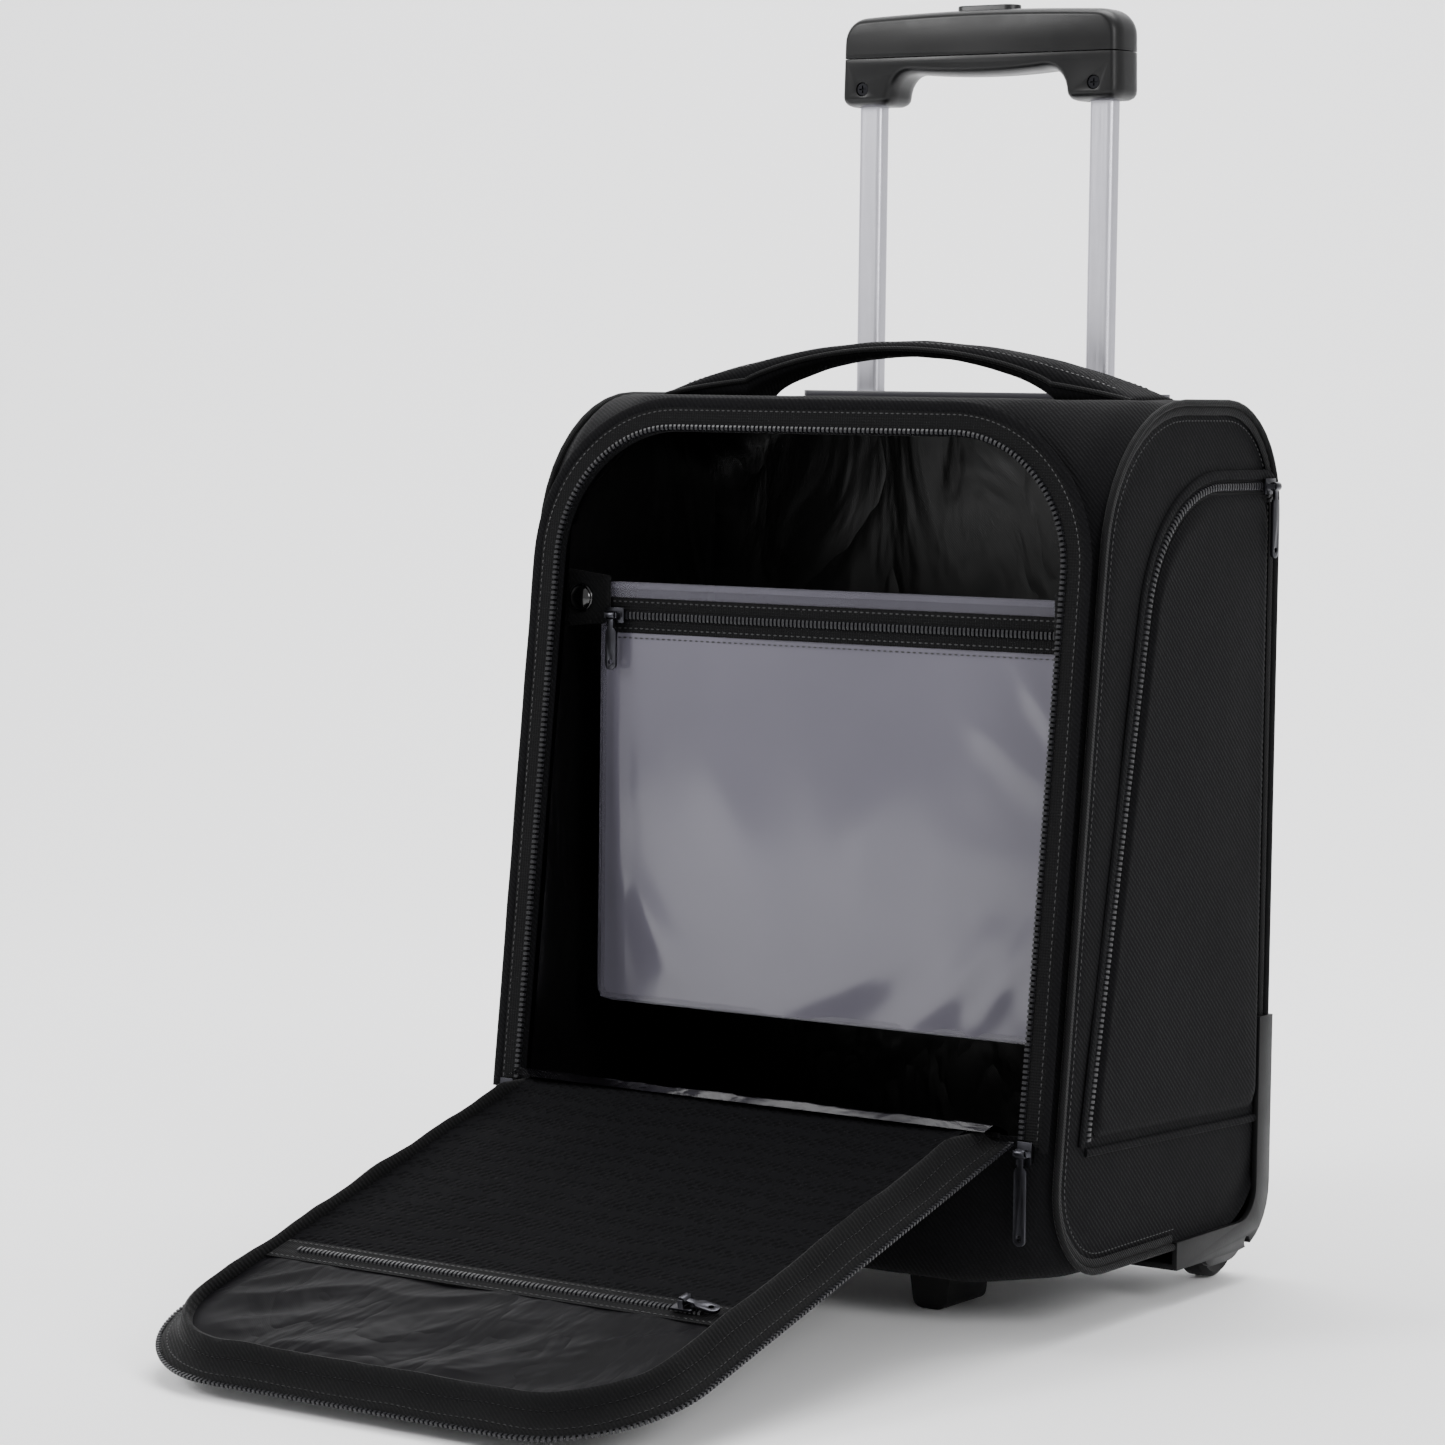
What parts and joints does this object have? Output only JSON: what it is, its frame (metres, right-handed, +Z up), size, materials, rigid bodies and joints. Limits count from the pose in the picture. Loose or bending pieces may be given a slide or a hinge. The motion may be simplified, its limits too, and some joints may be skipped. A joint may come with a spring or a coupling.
{
  "type": "rolling pilot case",
  "caption": "Soft-sided two-wheel pilot case with a zip-round front flap that folds down, clear inner pouch, side pocket, carry handle and telescopic trolley handle.",
  "frame": {"origin": "on the floor, in the middle of the footprint of the open case", "axes": "+Z up, the opening and its flap face -Y, the trolley handle is at the rear at +Y, +X is the side with the zipped pocket"},
  "size_m": [0.3394, 0.539, 0.648],
  "materials": {
    "shell_fabric": "matte woven",
    "piping_cord": "satin",
    "stiffener_board": "matte",
    "lining_nylon": "glossy nylon",
    "zip_teeth": "satin",
    "zip_metal": "satin",
    "carry_fabric": "matte woven",
    "bezel_plastic": "satin",
    "tube_aluminium": "satin anodised",
    "inner_plastic": "matte",
    "guard_plastic": "satin",
    "axle_steel": "plain",
    "screw_black": "satin",
    "pocket_fabric": "matte woven",
    "clear_vinyl": "clear, soft",
    "snap_black": "gloss",
    "mesh_knit": "coarse knit",
    "grip_plastic": "satin",
    "spring_steel": "plain",
    "rod_metal": "plain",
    "hub_plastic": "matte",
    "tyre_rubber": "matte"
  },
  "bodies": {
    "case": {"side_panel_left": "shell_fabric", "side_panel_right": "shell_fabric", "top_panel": "shell_fabric", "back_panel": "shell_fabric", "bottom_panel": "shell_fabric", "front_lower_panel": "shell_fabric", "front_border_left": "shell_fabric", "front_border_right": "shell_fabric", "side_pipings": "piping_cord", "back_board": "stiffener_board", "base_board": "stiffener_board", "interior_lining": "lining_nylon", "body_zip_chain": "zip_teeth", "hinge_tape": "shell_fabric", "main_slider_left": "zip_metal", "main_slider_right": "zip_metal", "carry_handle": "carry_fabric", "handle_bezel": "bezel_plastic", "outer_tubes": "tube_aluminium", "tube_bracket": "inner_plastic", "wheel_guard_left": "guard_plastic", "wheel_guard_right": "guard_plastic", "axles": "axle_steel", "guard_screws": "screw_black", "front_feet": "guard_plastic", "foot_screws": "screw_black", "side_pocket_panel": "pocket_fabric", "side_pocket_zip": "zip_teeth", "pouch_sheets": "clear_vinyl", "pouch_zip": "zip_teeth", "pouch_snaps": "snap_black", "pouch_tabs": "shell_fabric"},
    "flap": {"flap_panel": "shell_fabric", "flap_board": "stiffener_board", "flap_lining": "mesh_knit", "flap_rim": "shell_fabric", "flap_zip_chain": "zip_teeth", "mesh_pocket_zip": "zip_teeth"},
    "middle_stage": {"middle_tubes": "tube_aluminium", "middle_glides": "inner_plastic"},
    "inner_stage": {"inner_tubes": "tube_aluminium", "grip_upper": "grip_plastic", "grip_lower": "grip_plastic", "grip_screws": "screw_black", "lock_plugs": "inner_plastic", "button_spring": "spring_steel"},
    "release_button": {"grip_button": "grip_plastic", "push_rods": "rod_metal"},
    "left_wheel": {"wheel_hub_left": "hub_plastic", "wheel_tyre_left": "tyre_rubber"},
    "right_wheel": {"wheel_hub_right": "hub_plastic", "wheel_tyre_right": "tyre_rubber"},
    "left_main_pull": {"main_pull_left": "zip_metal"},
    "right_main_pull": {"main_pull_right": "zip_metal"},
    "pouch_zip_slider": {"pouch_slider": "zip_metal"},
    "pouch_zip_pull": {"pouch_pull": "zip_metal"},
    "mesh_zip_slider": {"mesh_slider": "zip_metal"},
    "mesh_zip_pull": {"mesh_pull": "zip_metal"},
    "side_zip_slider": {"side_slider": "zip_metal"},
    "side_zip_pull": {"side_pull": "zip_metal"}
  },
  "joints": [
    {"name": "flap_hinge", "type": "hinge", "parent": "case", "child": "flap", "pos_m": [0, 0.04949, 0.098], "axis": [-1, 0, 0], "range_deg": [0, 112.26]},
    {"name": "middle_tube_slide", "type": "slide", "parent": "case", "child": "middle_stage", "axis": [0, 0, 1], "range_m": [0, 0.28]},
    {"name": "inner_tube_slide", "type": "slide", "parent": "middle_stage", "child": "inner_stage", "axis": [0, 0, 1], "range_m": [-0.148, 0.15]},
    {"name": "button_press", "type": "slide", "parent": "inner_stage", "child": "release_button", "axis": [0, 0, -1], "range_m": [0, 0.004], "stiffness_N_per_m": 600, "springref_m": -0.004, "deforming": ["button_spring"]},
    {"name": "left_wheel_spin", "type": "hinge", "parent": "case", "child": "left_wheel", "pos_m": [-0.143, 0.24607, 0.02], "axis": [1, 0, 0], "continuous": true},
    {"name": "right_wheel_spin", "type": "hinge", "parent": "case", "child": "right_wheel", "pos_m": [0.143, 0.24607, 0.02], "axis": [1, 0, 0], "continuous": true},
    {"name": "left_main_pull_swing", "type": "hinge", "parent": "case", "child": "left_main_pull", "pos_m": [-0.1522, 0.04165, 0.09185], "axis": [-1, 0, 0], "range_deg": [0, 120]},
    {"name": "right_main_pull_swing", "type": "hinge", "parent": "case", "child": "right_main_pull", "pos_m": [0.1522, 0.04165, 0.09185], "axis": [-1, 0, 0], "range_deg": [0, 120]},
    {"name": "pouch_slider_travel", "type": "slide", "parent": "case", "child": "pouch_zip_slider", "axis": [1, 0, 0], "range_m": [0, 0.24]},
    {"name": "pouch_pull_swing", "type": "hinge", "parent": "pouch_zip_slider", "child": "pouch_zip_pull", "pos_m": [-0.127, 0.09717, 0.332], "axis": [-1, 0, 0], "range_deg": [0, 30]},
    {"name": "mesh_slider_travel", "type": "slide", "parent": "flap", "child": "mesh_zip_slider", "axis": [-1, 0, 0], "range_m": [0, 0.205]},
    {"name": "mesh_pull_swing", "type": "hinge", "parent": "mesh_zip_slider", "child": "mesh_zip_pull", "pos_m": [0.105, -0.16703, 0.05155], "axis": [0, -0.9624, -0.2716], "range_deg": [0, 60]},
    {"name": "side_slider_travel", "type": "slide", "parent": "case", "child": "side_zip_slider", "axis": [0, -1, 0], "range_m": [0, 0.044]},
    {"name": "side_pull_swing", "type": "hinge", "parent": "side_zip_slider", "child": "side_zip_pull", "pos_m": [0.1702, 0.25307, 0.4028], "axis": [0, -1, 0], "range_deg": [0, 120]}
  ]
}
